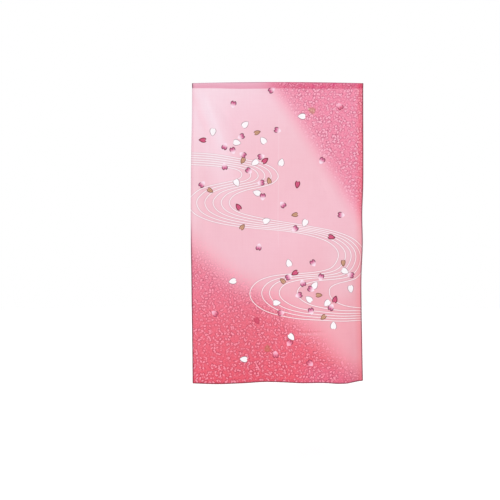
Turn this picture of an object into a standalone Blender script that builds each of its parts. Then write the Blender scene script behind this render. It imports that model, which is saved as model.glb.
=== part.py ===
"""Noren: a doorway curtain, one unsplit length of printed cloth that hangs from a pocket along its top.

Lengths are in millimetres here and become metres when a mesh is made. X runs across the curtain, the
printed face looks along -Y, and Z is up. The origin is the middle of the top edge, so the hem is near
Z = -1500.

The cloth hangs almost flat. What keeps it from being a plain board is worked out from four short tables:
where the pocket's seam runs, how far the two sides wander, how far the hem lifts, and the soft folds.
"""
import math
from collections import namedtuple

import bmesh
import bpy
import numpy as np

MM = 0.001

# ---- Driving sizes -----------------------------------------------------------------------------------
WIDTH = 850.0
LENGTH = 1500.0
CLOTH = 1.2           # one layer
HEM_RAMP = 1.5        # the turned edge of a hem, where two layers become one
SIDE_HEM = 12.0
BOTTOM_HEM = 18.0
PIECE_GAP = 0.3       # between the pocket strip and the cloth below it

POLE_ROOM = 14.0      # clear width inside the pocket, for a 13 mm pole
POCKET_DROP = 32.0    # top edge to the pocket's seam, on the whole
SEAM_ALLOWANCE = 4.0  # the two layers together, below the seam
TOP_BOW = 5.5         # the ends of the top edge lie this much lower than its middle

COLUMNS = 32
ROWS = 42
ARC_STEPS = 16
SHARP_ANGLE = math.radians(40)

POCKET_PINK = (0.78, 0.34, 0.47)  # doubled cloth lets less light through
PANEL_PINK = (0.92, 0.52, 0.62)
ROUGHNESS = 0.85

HALF = WIDTH / 2
FRONT_LAYER = -CLOTH / 2          # middle of the front layer: the pocket is even about Y = 0
PANEL_TOP = POCKET_DROP + SEAM_ALLOWANCE + PIECE_GAP

# ---- How it hangs ------------------------------------------------------------------------------------
# Across is from the middle, to the right. Down is below the middle of the top edge.
Seam = namedtuple("Seam", "across down")
SEAM_LINE = (
    Seam(-425, 31),
    Seam(-320, 31),
    Seam(-210, 33.5),
    Seam(-70, 33),
    Seam(15, 31.5),
    Seam(150, 33.5),
    Seam(425, 32.5),
)

# Left and right: how far that side of the cloth lies outside its straight line.
Side = namedtuple("Side", "down left right")
SIDES = (
    Side(0, 0, 0),
    Side(210, 1.5, 0.5),
    Side(360, 4.5, 1),
    Side(510, 5.5, 0.5),
    Side(660, 6, -4.5),
    Side(810, 5.5, -1.5),
    Side(960, 3.5, -6),
    Side(1110, 2, -5.5),
    Side(1260, 0, -3),
    Side(1500, -2.5, 3),
)

# Rise: how far the hem is lifted there.
Lift = namedtuple("Lift", "across rise")
HEM_LIFTS = (
    Lift(-425, 2),
    Lift(-290, 0),
    Lift(-200, 2.5),
    Lift(-140, 4),
    Lift(-85, 6.5),
    Lift(15, 5.5),
    Lift(110, 3),
    Lift(230, 5.5),
    Lift(310, 1),
    Lift(345, 2.5),
    Lift(370, 6),
    Lift(395, 8.5),
    Lift(425, 10.5),
)
LIFT_FADE = 4         # the lift fades up the curtain as this power of the drop

# Each fold's middle line runs straight from its head to its foot. The three depths are at its head, halfway
# and at its foot: away from the viewer is positive.
Fold = namedtuple(
    "Fold",
    "name head_across head_down foot_across foot_down half_width at_head halfway at_foot",
)
FOLDS = (
    Fold("left swell", -300, 250, -285, 1500, 190, 0, -6, -13),
    Fold("middle hollow", -20, 450, -35, 1500, 175, 0, 6, 16),
    Fold("right swell", 170, 300, 255, 1500, 190, 0, -6, -14),
    Fold("right margin turned back", 452, 780, 440, 1500, 105, 0, 12, 36),
    Fold("right margin drawn in", 430, 760, 430, 1290, 120, 0, 14, 0),
    Fold("left margin leaning out", -440, 150, -440, 1200, 150, 0, -14, 0),
    Fold("drag from the left corner", -405, 50, -262, 400, 34, 0, -3.5, 0),
    Fold("second drag", -330, 60, -150, 330, 42, 0, 2.5, 0),
    Fold("slant across the right", 205, 380, 345, 700, 46, 0, -3, 0),
    Fold("crease on the left", -330, 560, -300, 930, 55, 0, -4, 0),
)


def through(points, at):
    """A smooth curve through a table's points, read at the places given."""
    across, value = (np.array(column, float) for column in zip(*points))
    slope = np.gradient(value, across)
    i = np.clip(np.searchsorted(across, at) - 1, 0, len(across) - 2)
    span = across[i + 1] - across[i]
    t = np.clip((at - across[i]) / span, 0.0, 1.0)
    return (
        value[i] * (1 + 2 * t) * (1 - t) ** 2
        + value[i + 1] * t**2 * (3 - 2 * t)
        + slope[i] * span * t * (1 - t) ** 2
        - slope[i + 1] * span * t**2 * (1 - t)
    )


def top_edge(across):
    """Height of the pocket's top edge."""
    return -TOP_BOW * (across / HALF) ** 2


def seam(across):
    """Height of the pocket's seam."""
    return -through(SEAM_LINE, across)


def fold_depth(fold, across, down):
    """How far one fold moves the cloth back, as a soft ridge or trough beside its middle line."""
    t = np.clip((down - fold.head_down) / (fold.foot_down - fold.head_down), 0.0, 1.0)
    middle = fold.head_across + t * (fold.foot_across - fold.head_across)
    depth = through(((0, fold.at_head), (0.5, fold.halfway), (1, fold.at_foot)), t)
    beside = np.clip((across - middle) / fold.half_width, -1.0, 1.0)
    return depth * 0.5 * (1 + np.cos(math.pi * beside))


def hang(across, down):
    """Where the middle of the cloth's front layer hangs, as (X, Y, Z), from its place on the flat cloth."""
    left = through([(s.down, s.left) for s in SIDES], down)
    right = through([(s.down, s.right) for s in SIDES], down)
    share = (across + HALF) / WIDTH
    x = across - left * (1 - share) + right * share
    drop = np.clip((down - PANEL_TOP) / (LENGTH - PANEL_TOP), 0.0, 1.0)
    seam_drift = seam(across) + POCKET_DROP
    z = -down + seam_drift * (1 - drop) + through(HEM_LIFTS, across) * drop**LIFT_FADE
    y = FRONT_LAYER + sum(fold_depth(fold, across, down) for fold in FOLDS)
    return x, y, z


# ---- Making meshes -----------------------------------------------------------------------------------
def cloth_material(name, colour):
    material = bpy.data.materials.new(name)
    material.use_nodes = True
    surface = material.node_tree.nodes["Principled BSDF"]
    surface.inputs["Base Color"].default_value = (*colour, 1.0)
    surface.inputs["Roughness"].default_value = ROUGHNESS
    surface.inputs["Metallic"].default_value = 0.0
    return material


def solid(name, points, faces, material):
    """One named object from points in millimetres, with its faces turned outwards."""
    mesh = bpy.data.meshes.new(name)
    mesh.from_pydata([tuple(p) for p in np.asarray(points) * MM], [], faces)
    shape = bmesh.new()
    shape.from_mesh(mesh)
    bmesh.ops.recalc_face_normals(shape, faces=shape.faces)
    shape.to_mesh(mesh)
    shape.free()
    mesh.materials.append(material)
    mesh.shade_smooth()
    mesh.set_sharp_from_angle(angle=SHARP_ANGLE)
    thing = bpy.data.objects.new(name, mesh)
    bpy.context.collection.objects.link(thing)
    return thing


def lines_between(first, last, count, hems):
    """Grid lines from one edge to the other: even in the middle, and two at each hem's turned edge."""
    low, high = hems
    start = first + (low + HEM_RAMP if low else 0.0)
    stop = last - (high + HEM_RAMP if high else 0.0)
    lines = list(np.linspace(start, stop, count + 1))
    if low:
        lines = [first, first + low, *lines]
    if high:
        lines = [*lines, last - high, last]
    return np.array(lines)


# Both pieces share these lines, so that the gap between them is even.
ACROSS = lines_between(-HALF, HALF, COLUMNS, (SIDE_HEM, SIDE_HEM))
DOWN = lines_between(PANEL_TOP, LENGTH, ROWS, (0.0, BOTTOM_HEM))


# ---- The pole pocket ---------------------------------------------------------------------------------
def teardrop(radius, foot_y, top, foot):
    """The pocket seen from its end: round over the pole, with straight walls down to the seam.

    top is the height of its outside and foot that of the seam. Points of (Y, Z) run from the front wall's
    foot, over the top, to the back wall's foot.
    """
    middle = top - POLE_ROOM / 2 - CLOTH
    fall = middle - foot
    reach = math.hypot(fall, foot_y)
    # The wall touches the arc where the radius is square to it.
    start = math.pi - math.acos(radius / reach) - math.atan2(foot_y, fall)
    angles = np.linspace(start, -start, ARC_STEPS + 1)
    arc = [(-radius * math.sin(a), middle + radius * math.cos(a)) for a in angles]
    return [(-foot_y, foot), *arc, (foot_y, foot)]


def pocket_section(across):
    """The wall's two outlines at one place: the outside with its tail below the seam, then the inside."""
    top, foot = top_edge(across), seam(across)
    outside = teardrop(POLE_ROOM / 2 + CLOTH, CLOTH, top, foot)
    outside += [(CLOTH, foot - SEAM_ALLOWANCE), (-CLOTH, foot - SEAM_ALLOWANCE)]
    inside = teardrop(POLE_ROOM / 2, 0.0, top, foot)[:-1]  # both inner walls end on the same line
    return outside, inside


def pole_pocket():
    """The strip folded over the pole, open from end to end, with both layers joined below the seam."""
    points = []
    for across in ACROSS:
        outside, inside = pocket_section(across)
        points += [(across, y, z) for y, z in outside + inside]

    outer, inner = len(outside), len(inside)
    ring = outer + inner
    last = len(points) - ring
    faces = []
    for here in range(0, last, ring):
        for start, count in ((0, outer), (outer, inner)):
            for k in range(count):
                a, b = here + start + k, here + start + (k + 1) % count
                faces.append((a, b, b + ring, a + ring))

    for end in (0, last):
        wall = [end + k for k in range(outer - 2)]
        lining = [end + outer + k for k in range(inner)] + [end + outer]
        for k in range(len(wall) - 1):
            faces.append((wall[k], wall[k + 1], lining[k + 1], lining[k]))
        tail = (end + outer - 2, end + outer - 1)
        faces.append((wall[-1], *tail, wall[0], lining[0]))

    return solid("pole_pocket", points, faces, cloth_material("pocket_cloth", POCKET_PINK))


# ---- The hanging cloth -------------------------------------------------------------------------------
def curtain_panel():
    """The cloth below the pocket, one layer thick and two at its hems, which are turned to the back."""
    flat_x, flat_d = np.meshgrid(ACROSS, DOWN)
    x, y, z = hang(flat_x, flat_d)

    # A line at a hem's inner edge still belongs to the hem.
    in_side_hem = np.abs(flat_x) > HALF - SIDE_HEM - HEM_RAMP / 2
    in_bottom_hem = flat_d > LENGTH - BOTTOM_HEM - HEM_RAMP / 2
    layers = np.where(in_side_hem | in_bottom_hem, 2, 1)
    front_y = y - CLOTH / 2
    back_y = front_y + layers * CLOTH

    rows, columns = flat_x.shape
    behind = rows * columns
    faces = []
    for r in range(rows - 1):
        for c in range(columns - 1):
            k = r * columns + c
            cell = (k, k + 1, k + 1 + columns, k + columns)
            faces.append(cell)
            faces.append(tuple(behind + corner for corner in reversed(cell)))

    top = list(range(columns))
    right = [r * columns + columns - 1 for r in range(rows)]
    bottom = [(rows - 1) * columns + c for c in reversed(range(columns))]
    left = [r * columns for r in reversed(range(rows))]
    for edge in (top, right, bottom, left):
        for a, b in zip(edge, edge[1:]):
            faces.append((b, a, behind + a, behind + b))

    sides = [np.stack([x, side_y, z], axis=-1).reshape(-1, 3) for side_y in (front_y, back_y)]
    return solid("curtain_panel", np.concatenate(sides), faces, cloth_material("panel_cloth", PANEL_PINK))


def main():
    for thing in list(bpy.data.objects):
        bpy.data.objects.remove(thing, do_unlink=True)
    pole_pocket()
    curtain_panel()


main()
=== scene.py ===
# %% [markdown]
# # A noren: one length of printed cloth that hangs in a doorway
#
# The real curtain is a single cut of thin plain-woven cloth. Its sides and its foot are turned twice to the
# back and stitched, and its top is folded over into a pocket that slides onto a pole. It could be made here
# as a flat board with a picture on it, but then the hems, the pocket and the back would be missing. This
# lesson makes the cloth as a sewer does: it lays one sheet out flat, rolls the hems, folds the pocket,
# hangs the sheet and then prints it.
#
# Lengths are in millimetres until a mesh is made. X runs across the curtain, the printed side looks along
# -Y, and Z is up, with the middle of the top edge at the origin.

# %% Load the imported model
import math
from collections import namedtuple

import bpy
import numpy as np
from mathutils.kdtree import KDTree
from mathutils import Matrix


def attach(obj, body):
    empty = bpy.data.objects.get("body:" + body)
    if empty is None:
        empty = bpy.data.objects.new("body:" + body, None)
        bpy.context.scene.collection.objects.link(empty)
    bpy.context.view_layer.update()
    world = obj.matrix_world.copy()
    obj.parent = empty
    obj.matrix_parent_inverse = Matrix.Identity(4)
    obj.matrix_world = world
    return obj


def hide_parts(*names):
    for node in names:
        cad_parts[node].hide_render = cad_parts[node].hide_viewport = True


MM = 0.001
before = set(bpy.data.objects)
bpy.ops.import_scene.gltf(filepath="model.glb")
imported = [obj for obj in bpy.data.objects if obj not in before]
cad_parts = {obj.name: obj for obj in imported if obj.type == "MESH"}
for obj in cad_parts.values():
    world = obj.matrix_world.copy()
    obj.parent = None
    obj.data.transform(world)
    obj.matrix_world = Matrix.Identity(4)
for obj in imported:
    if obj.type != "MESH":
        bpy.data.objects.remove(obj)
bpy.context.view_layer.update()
print("packed nodes:", sorted(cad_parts))

# %% [markdown]
# ## The sizes that the sheet shares with the solids
#
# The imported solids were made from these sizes, with walls 1.2 mm thick so that they can be handled as solid
# parts. The finished sheet lies in the middle of those walls, at the real cloth's own thickness.

# %% Shared sizes
WIDTH = 850.0
LENGTH = 1500.0
SOLID_WALL = 1.2
SIDE_HEM = 12.0
BOTTOM_HEM = 18.0
POLE_ROOM = 14.0
POCKET_DROP = 32.0    # top edge to the pocket's seam, on the whole
SEAM_ALLOWANCE = 4.0
TOP_BOW = 5.5
PANEL_TOP = POCKET_DROP + SEAM_ALLOWANCE + 0.3

HALF = WIDTH / 2
FRONT_LAYER = -SOLID_WALL / 2   # Y of the front layer where it hangs straight

THICKNESS = 0.25      # of the real cloth
LAYER = 0.3           # from one layer to the next in a hem
TURN_UNDER = 8.0      # the raw edge tucked inside a hem
print(f"one sheet, {WIDTH:.0f} x {LENGTH:.0f} mm finished, {THICKNESS} mm thick")

# %% [markdown]
# ## How the cloth hangs
#
# A cloth that hangs by its whole top edge stays nearly flat, with soft swells that grow towards the foot
# and a few slanting creases where it was pulled. A cloth simulation would give folds in places of its own
# choosing, so here each fold is given one by one instead: a row in a table, read as a soft ridge or trough
# beside a line. Sides that wander and a foot that lifts are tables too.

# %% Tables for the hang
def table(name, columns, *rows):
    """A short table whose columns have names."""
    return [namedtuple(name, columns)(*row) for row in rows]


SEAM_LINE = table(
    "Seam", "across down",
    (-425, 31), (-320, 31), (-210, 33.5), (-70, 33), (15, 31.5), (150, 33.5), (425, 32.5),
)

# Left and right: how far that side of the cloth lies outside its straight line.
SIDES = table(
    "Side", "down left right",
    (0, 0, 0), (210, 1.5, 0.5), (360, 4.5, 1), (510, 5.5, 0.5), (660, 6, -4.5),
    (810, 5.5, -1.5), (960, 3.5, -6), (1110, 2, -5.5), (1260, 0, -3), (1500, -2.5, 3),
)

# Rise: how far the foot is lifted there.
HEM_LIFTS = table(
    "Lift", "across rise",
    (-425, 2), (-290, 0), (-200, 2.5), (-140, 4), (-85, 6.5), (15, 5.5), (110, 3),
    (230, 5.5), (310, 1), (345, 2.5), (370, 6), (395, 8.5), (425, 10.5),
)
LIFT_FADE = 4         # the lift fades up the curtain as this power of the drop

# The three depths are at a fold's head, halfway and at its foot: away from the viewer is positive.
FOLDS = table(
    "Fold", "name head_across head_down foot_across foot_down half_width at_head halfway at_foot",
    ("left swell", -300, 250, -285, 1500, 190, 0, -6, -13),
    ("middle hollow", -20, 450, -35, 1500, 175, 0, 6, 16),
    ("right swell", 170, 300, 255, 1500, 190, 0, -6, -14),
    ("right margin turned back", 452, 780, 440, 1500, 105, 0, 12, 36),
    ("right margin drawn in", 430, 760, 430, 1290, 120, 0, 14, 0),
    ("left margin leaning out", -440, 150, -440, 1200, 150, 0, -14, 0),
    ("drag from the left corner", -405, 50, -262, 400, 34, 0, -3.5, 0),
    ("second drag", -330, 60, -150, 330, 42, 0, 2.5, 0),
    ("slant across the right", 205, 380, 345, 700, 46, 0, -3, 0),
    ("crease on the left", -330, 560, -300, 930, 55, 0, -4, 0),
)


# %% Reading the tables
def through(points, at):
    """A smooth curve through a table's points, read at the places given."""
    across, value = (np.array(column, float) for column in zip(*points))
    slope = np.gradient(value, across)
    i = np.clip(np.searchsorted(across, at) - 1, 0, len(across) - 2)
    span = across[i + 1] - across[i]
    t = np.clip((at - across[i]) / span, 0.0, 1.0)
    return (
        value[i] * (1 + 2 * t) * (1 - t) ** 2
        + value[i + 1] * t**2 * (3 - 2 * t)
        + slope[i] * span * t * (1 - t) ** 2
        - slope[i + 1] * span * t**2 * (1 - t)
    )


def top_edge(across):
    """Height of the pocket's top edge."""
    return -TOP_BOW * (across / HALF) ** 2


def seam(across):
    """Height of the pocket's seam."""
    return -through(SEAM_LINE, across)


def fold_depth(fold, across, down):
    """How far one fold moves the cloth back, as a soft ridge or trough beside its middle line."""
    t = np.clip((down - fold.head_down) / (fold.foot_down - fold.head_down), 0.0, 1.0)
    middle = fold.head_across + t * (fold.foot_across - fold.head_across)
    depth = through(((0, fold.at_head), (0.5, fold.halfway), (1, fold.at_foot)), t)
    beside = np.clip((across - middle) / fold.half_width, -1.0, 1.0)
    return depth * 0.5 * (1 + np.cos(math.pi * beside))


def hang(across, down):
    """Where the middle of the cloth's front layer hangs, as (X, Y, Z), from its place on the flat cloth."""
    left = through([(s.down, s.left) for s in SIDES], down)
    right = through([(s.down, s.right) for s in SIDES], down)
    share = (across + HALF) / WIDTH
    x = across - left * (1 - share) + right * share
    drop = np.clip((down - PANEL_TOP) / (LENGTH - PANEL_TOP), 0.0, 1.0)
    seam_drift = seam(across) + POCKET_DROP
    z = -down + seam_drift * (1 - drop) + through(HEM_LIFTS, across) * drop**LIFT_FADE
    y = FRONT_LAYER + sum(fold_depth(fold, across, down) for fold in FOLDS)
    return x, y, z


depths = hang(*np.meshgrid(np.linspace(-HALF, HALF, 60), np.linspace(40, LENGTH, 100)))[1]
deepest = max(FOLDS, key=lambda fold: abs(fold.at_foot))
print(f"{len(FOLDS)} folds, from {depths.min():.1f} mm towards the viewer to {depths.max():.1f} mm away")
print("deepest at the foot:", deepest.name)


# %% [markdown]
# ## Puckers along the stitching
#
# A row of stitches draws thin cloth in a little, so it ripples beside every seam and lies smooth further
# off. The solids are too coarse for this. Three waves of different length keep the ripple from looking
# even, and an exponential fade keeps it close to the stitches.

# %% Puckers
# How deep the cloth puckers at a row of stitches, and how far off that has fallen to a third.
Pucker = namedtuple("Pucker", "depth reach")
BELOW_SEAM, ABOVE_SEAM = Pucker(0.45, 26), Pucker(0.45, 9)
BESIDE_HEM, ABOVE_FOOT = Pucker(0.45, 14), Pucker(0.40, 20)


def ripple(along):
    """An uneven wave, between -1 and 1, with crests some 25 to 40 mm apart."""
    return 0.5 * np.sin(along / 5.3) + 0.32 * np.sin(along / 7.9 + 1.7) + 0.18 * np.sin(along / 4.1 + 0.6)


def fading(kind, distance):
    """The depth of one kind of pucker at a distance from its stitches."""
    return kind.depth * np.exp(-np.maximum(distance, 0) / kind.reach)


def pucker(across, down):
    """How far the stitching moves the hanging cloth back or forward."""
    below_seam = fading(BELOW_SEAM, down - POCKET_DROP) * ripple(across)
    above_foot = fading(ABOVE_FOOT, LENGTH - BOTTOM_HEM - down) * ripple(across + 300)
    beside_hem = fading(BESIDE_HEM, HALF - SIDE_HEM - np.abs(across)) * ripple(down + across)
    level = np.clip((down - POCKET_DROP) / 60, 0, 1)     # the side hems start softly below the pocket
    return below_seam + above_foot + beside_hem * level


def lie(across, down):
    """The hanging cloth with its puckers, as points."""
    x, y, z = hang(across, down)
    return np.stack([x, y + pucker(across, down), z], axis=-1)


wave = np.abs([pucker(x, POCKET_DROP + 1) for x in np.linspace(-400, 400, 200)])
print(f"puckers of up to {wave.max():.2f} mm below the pocket's seam")

# %% [markdown]
# ## A hem turned twice
#
# A sewer folds the raw edge in, folds it again and stitches it down, so a hem is three layers with the raw
# edge hidden in the middle. Thickening the edge would look right from the front only. This path is followed
# by the cloth instead: along the front, round the finished edge, back behind, round once more and into the
# middle.
#
# Each point is given as its distance in from the finished edge, its depth behind the front layer, and the
# length of cloth used beyond the finished edge, which is where the print continues.

# %% The path of a hem
TURN = np.linspace(0, math.pi, 5)


def rolled_hem(width, pitch):
    """The hem's (in from the edge, behind the front, cloth used), from its front to its raw edge."""
    half = pitch / 2
    flat = 0 * pitch      # so that each entry has the pitch's own shape
    path = [(e + flat, flat) for e in (width, 0.68 * width, 0.36 * width, 1.6)]
    path += [(pitch * (1 - math.sin(a)), pitch * (1 - math.cos(a))) for a in TURN]
    path += [(e + flat, 2 * pitch) for e in (0.36 * width, 0.72 * width)]
    path += [(width - half * (1 - math.sin(a)), 1.5 * pitch + half * math.cos(a)) for a in TURN]
    path += [(width - 0.6 * TURN_UNDER + flat, pitch), (width - TURN_UNDER + flat, pitch)]
    inwards, depth = (np.array(values, float) for values in zip(*path))
    steps = np.hypot(np.diff(inwards, axis=0), np.diff(depth, axis=0))
    used = np.concatenate([0 * inwards[:1], np.cumsum(steps, axis=0)]) - inwards[0]
    return inwards, depth, used


side_in, side_depth, side_used = rolled_hem(SIDE_HEM, LAYER)
print(f"a side hem uses {side_used[-1]:.1f} mm of cloth past the finished edge")

# %% [markdown]
# ## Columns: the sheet's lines from side to side
#
# The sheet is a grid. Its columns are even over the field and crowd together where the side hems turn,
# because a tight turn needs several faces to look round. Where the hems of the side and the foot cross
# there are nine layers, so the fold there has to be fatter, and one number says by how much.

# %% Columns and corner bulk
FIELD_COLUMNS = 146
BULK_FADE = 13.0      # how far in from a side hem its bulk reaches
field_edge = HALF - SIDE_HEM - 0.7
field = np.linspace(-field_edge, field_edge, FIELD_COLUMNS)
column_x = np.concatenate([-HALF + side_in[::-1], field, HALF - side_in])
column_depth = np.concatenate([side_depth[::-1], 0 * field, side_depth])
column_cut = np.concatenate([-HALF - side_used[::-1], field, HALF + side_used])


def corner_bulk(across, most):
    """1 over the field, rising to most where the side hems add their layers."""
    from_side = HALF - np.abs(across)
    t = np.clip((SIDE_HEM + 1 + BULK_FADE - from_side) / BULK_FADE, 0, 1)
    return 1 + (most - 1) * t**2 * (3 - 2 * t)


print(f"{len(column_x)} columns, {field[1] - field[0]:.1f} mm apart in the field")

# %% [markdown]
# ## The pole pocket
#
# Seen from its end the pocket is a drop: round where the pole goes, with two straight walls that meet at
# the seam. Below the seam the back layer turns in, and its raw edge stands between the two walls. The round
# part is an arc, and each wall leaves it where the arc's radius is square to the wall, so no kink shows.

# %% Rows of the pocket
POCKET_RADIUS = POLE_ROOM / 2 + SOLID_WALL / 2
POCKET_BULK = 3.5


def wall_angle(foot_y, fall):
    """The angle from the pocket's top at which a wall from foot_y at the seam meets the arc."""
    reach = np.hypot(fall, foot_y)
    return math.pi - np.arccos(POCKET_RADIUS / reach) - np.arctan2(foot_y, fall)


def pocket_section(across):
    """(Y, Z) of the pocket's rows: from the raw edge, up the back, over the pole and down to the seam."""
    foot = seam(across)
    middle = top_edge(across) - POLE_ROOM / 2 - SOLID_WALL
    step = LAYER * corner_bulk(across, POCKET_BULK)
    front, tucked, back = FRONT_LAYER + 0 * step, FRONT_LAYER + 1.5 * step, FRONT_LAYER + 3 * step

    front_angle = wall_angle(-FRONT_LAYER, middle - foot)
    back_angle = wall_angle(back, middle - foot)
    back_y = POCKET_RADIUS * np.sin(back_angle)
    back_z = middle + POCKET_RADIUS * np.cos(back_angle)
    lean = (back_y - back) / (back_z - foot)

    turn = (back - tucked) / 2
    low = foot - SEAM_ALLOWANCE + turn
    rows = [(tucked + lean * rise, foot + rise) for rise in (4.0, 1.5)]
    rows += [(tucked, foot - 0.5), (tucked, (foot + low) / 2)]
    rows += [(tucked + turn * (1 - math.cos(a)), low - turn * math.sin(a)) for a in TURN]
    rows += [(back, (foot + low) / 2), (back, foot)]
    rows += [(back + (back_y - back) * t, foot + (back_z - foot) * t) for t in (0.12, 0.4, 0.7)]
    for t in np.linspace(0, 1, 17):
        angle = -back_angle + t * (front_angle + back_angle)
        rows.append((-POCKET_RADIUS * np.sin(angle), middle + POCKET_RADIUS * np.cos(angle)))
    touch_y, touch_z = rows[-1]
    rows += [(touch_y + (front - touch_y) * t, touch_z + (foot - touch_z) * t) for t in (0.3, 0.6, 0.88, 1)]
    return rows


def pocket_rows(across):
    """The pocket's rows as points, with the cut length of each measured back from the seam."""
    foot = seam(across)
    rows = []
    for y, z in pocket_section(across):
        x = hang(across, np.clip(-z, 0, POCKET_DROP))[0]
        gathered = fading(ABOVE_SEAM, np.abs(z - foot)) * ripple(across)
        rows.append(np.stack([x, y + gathered, z], axis=-1))
    rows = np.array(rows)
    steps = np.linalg.norm(np.diff(rows, axis=0), axis=-1)
    to_seam = np.concatenate([np.cumsum(steps[::-1], axis=0)[::-1], 0 * steps[:1]])
    return rows, POCKET_DROP - to_seam


pocket, pocket_cut = pocket_rows(np.array([0.0]))
print(f"the pocket's {len(pocket)} rows use {POCKET_DROP - pocket_cut.min():.0f} mm of cloth")

# %% [markdown]
# ## The hanging rows and the foot
#
# Below the seam the rows simply hang. At the foot they follow the same twice-turned path as the sides, set
# square to the hanging cloth, and the path grows by the corner's bulk where the hems cross.

# %% Rows of the panel and its hem
FIELD_ROWS = 192
CORNER_BULK = 5.0
hanging = np.concatenate([[33.2, 35.5], np.linspace(39, LENGTH - BOTTOM_HEM - 0.8, FIELD_ROWS)])


def unit(vectors):
    """The same directions, each of length 1."""
    return vectors / np.linalg.norm(vectors, axis=-1, keepdims=True)


def behind(across, down):
    """The direction that the cloth's wrong side faces there."""
    sideways = lie(across + 1, down) - lie(across - 1, down)
    downwards = lie(across, down + 1) - lie(across, down - 1)
    return unit(np.cross(sideways, downwards))


def panel_rows(across):
    """The rows below the seam as points, with the cut length of each."""
    free_x, free_down = np.meshgrid(across, hanging)
    inwards, depth, used = rolled_hem(BOTTOM_HEM, LAYER * corner_bulk(across, CORNER_BULK))
    hem_x, hem_down = np.broadcast_to(across, inwards.shape), LENGTH - inwards
    hem = lie(hem_x, hem_down) + depth[..., None] * behind(hem_x, hem_down)
    return np.concatenate([lie(free_x, free_down), hem]), np.concatenate([free_down, LENGTH + used])


def surface(across):
    """Every row of the sheet at the columns given, before the side hems are rolled, and its cut lengths."""
    pocket, pocket_cut = pocket_rows(across)
    panel, panel_cut = panel_rows(across)
    return np.concatenate([pocket, panel]), np.concatenate([pocket_cut, panel_cut])


def wrong_side(across, rows):
    """The direction of the wrong side at every point of those rows."""
    sideways = surface(across + 0.5)[0] - surface(across - 0.5)[0]
    return unit(np.cross(sideways, np.gradient(rows, axis=0)))


rows, row_cut = surface(column_x)
points = rows + column_depth[None, :, None] * wrong_side(column_x, rows)
print(f"{points.shape[0]} rows x {points.shape[1]} columns")

# %% [markdown]
# ## The sheet as a mesh
#
# The faces turn their printed side outwards. Each point keeps its place on the flat cut as an attribute
# named cut, because the print is drawn on flat cloth and has to follow it round every hem. A Solidify
# modifier then gives the cloth its thickness and puts the second material on the back.

# %% Build the sheet
down_count, across_count = points.shape[:2]
corner = np.arange((down_count - 1) * across_count).reshape(-1, across_count)[:, :-1].ravel()
quads = np.stack([corner, corner + across_count, corner + across_count + 1, corner + 1], axis=-1)

mesh = bpy.data.meshes.new("noren_cloth")
mesh.from_pydata((points.reshape(-1, 3) * MM).tolist(), [], quads.tolist())
mesh.shade_smooth()
cut = np.stack([np.broadcast_to(column_cut, row_cut.shape), row_cut, 0 * row_cut], axis=-1).reshape(-1, 3)


def keep(name, values, domain="POINT"):
    """Stores a vector for each point, or each corner of a face, under a name that a material can read."""
    made = mesh.attributes.new(name, "FLOAT_VECTOR", domain)
    made.data.foreach_set("vector", np.ascontiguousarray(values, np.float32).ravel())


def show(name, data):
    """Makes an object of a mesh or a camera, at the origin, and puts it in the scene."""
    made = bpy.data.objects.new(name, data)
    bpy.context.collection.objects.link(made)
    return made


keep("cut", cut)
cloth = show("noren_cloth", mesh)
body = cloth.modifiers.new("cloth thickness", "SOLIDIFY")
body.thickness = THICKNESS * MM
body.offset = 0.0
body.material_offset = 1

# %% [markdown]
# ## The print: loose cherry petals
#
# The petals are about 40 mm long and lie where a breeze might drop them, crowded where the stream bends.
# They could be little raised meshes, but dye has no height, so they are colour only: each face of the sheet
# is told where it lies within the nearest petal, and the material draws the petal's shape from that. Petals
# that nearly touch go on two layers, so that neither is cut off where the next one begins.
#
# The places are listed in whole centimetres from the middle of the top edge. The turns follow the
# golden angle, which never lines up with itself.

# %% Petals
PETAL_REACH = 28.0    # how far from its middle a petal's faces are looked for
CROWDED = 48.0        # petals nearer to each other than this go on different layers
GOLDEN_ANGLE = math.radians(137.5)

WHITE, MAUVE, CRIMSON, GOLD = 1, 2, 3, 4
PETAL_LENGTH = {WHITE: 39.0, MAUVE: 37.0, CRIMSON: 39.0, GOLD: 35.0}
PETALS = {
    WHITE: (
        (12, 17), (-16, 21), (-32, 25), (-7, 29), (-20, 30), (-11, 40), (2, 40), (-20, 50),
        (-10, 55), (-5, 69), (14, 70), (6, 90), (34, 94), (-22, 99), (19, 101), (37, 103),
        (16, 108), (0, 110), (25, 110), (28, 121), (7, 127), (-17, 138),
    ),
    MAUVE: (
        (-3, 4), (-22, 11), (31, 12), (0, 24), (-18, 27), (-26, 32), (-22, 34), (-17, 36),
        (-8, 37), (22, 39), (-26, 42), (-14, 44), (-8, 50), (-37, 51), (-7, 57), (3, 61),
        (32, 66), (9, 73), (-9, 82), (18, 90), (37, 96), (6, 97), (22, 97), (13, 100),
        (17, 103), (11, 106), (27, 112), (17, 114), (-31, 115), (2, 115), (6, 130), (-1, 136),
        (16, 140),
    ),
    CRIMSON: (
        (-37, 29), (-6, 39), (10, 51), (-19, 62), (27, 77), (9, 95), (29, 108), (-10, 119),
    ),
    GOLD: (
        (17, 14), (-10, 25), (-17, 39), (-4, 49), (-33, 54), (9, 66), (-17, 72), (33, 90),
        (3, 99), (21, 106), (23, 117), (-5, 133),
    ),
}
petals = [(10 * x, 10 * d, kind) for kind, places in PETALS.items() for x, d in places]
petal_place = np.array([(x, d) for x, d, _ in petals], float)
petal_kind = np.array([kind for *_, kind in petals], float)
petal_length = np.array([PETAL_LENGTH[kind] for *_, kind in petals])
petal_turn = GOLDEN_ANGLE * np.arange(len(petals))

petal_layer = np.zeros(len(petals), int)
for i, place in enumerate(petal_place):
    beside_it = np.linalg.norm(petal_place[:i] - place, axis=1) < CROWDED
    petal_layer[i] = min({0, 1} - set(petal_layer[:i][beside_it]), default=0)
print({name: len(places) for name, places in zip(("white", "mauve", "crimson", "gold"), PETALS.values())})

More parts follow.
